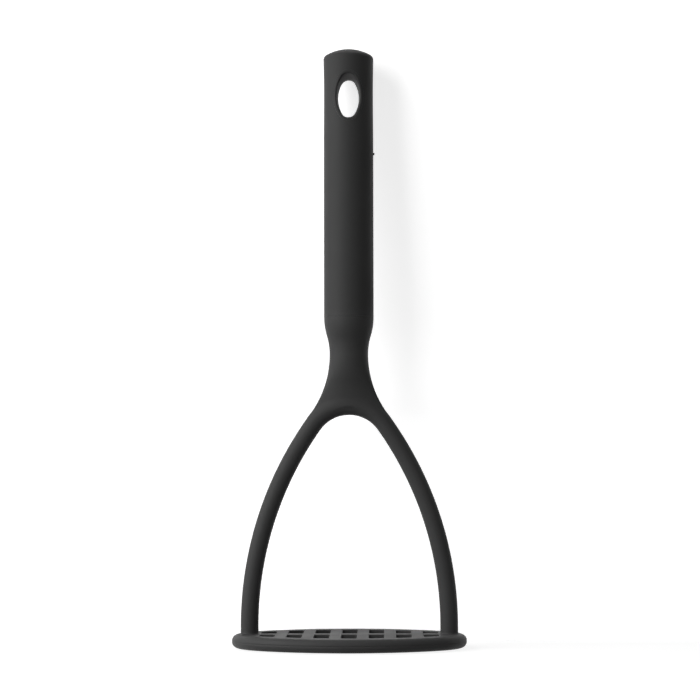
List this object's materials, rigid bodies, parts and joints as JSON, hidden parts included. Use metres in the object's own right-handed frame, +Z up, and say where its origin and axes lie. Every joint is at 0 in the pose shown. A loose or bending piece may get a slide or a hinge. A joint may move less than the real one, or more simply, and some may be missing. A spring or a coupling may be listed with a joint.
{
  "type": "potato masher",
  "caption": "Upright potato masher: round hollow handle with an oval hang hole, wishbone arms and an oval slotted pressing plate with a full-round rim.",
  "frame": {"origin": "centre of the underside of the plate, which is the middle of the bottom of the bounding box", "axes": "+Z up the handle; X the long way of the plate, through both feet; -Y the front, which the hang hole faces"},
  "size_m": [0.1052, 0.076, 0.27],
  "materials": {
    "plate_nylon": "fine matte moulded nylon",
    "frame_nylon": "fine matte moulded nylon",
    "handle_nylon": "fine matte moulded nylon",
    "liner_nylon": "smoother satin nylon",
    "core_steel": "drawn wire"
  },
  "bodies": {
    "root": {"masher_plate": "plate_nylon", "wishbone_frame": "frame_nylon", "core_wire": "core_steel", "handle_front_shell": "handle_nylon", "handle_rear_shell": "handle_nylon", "hang_hole_liner": "liner_nylon"}
  },
  "joints": []
}
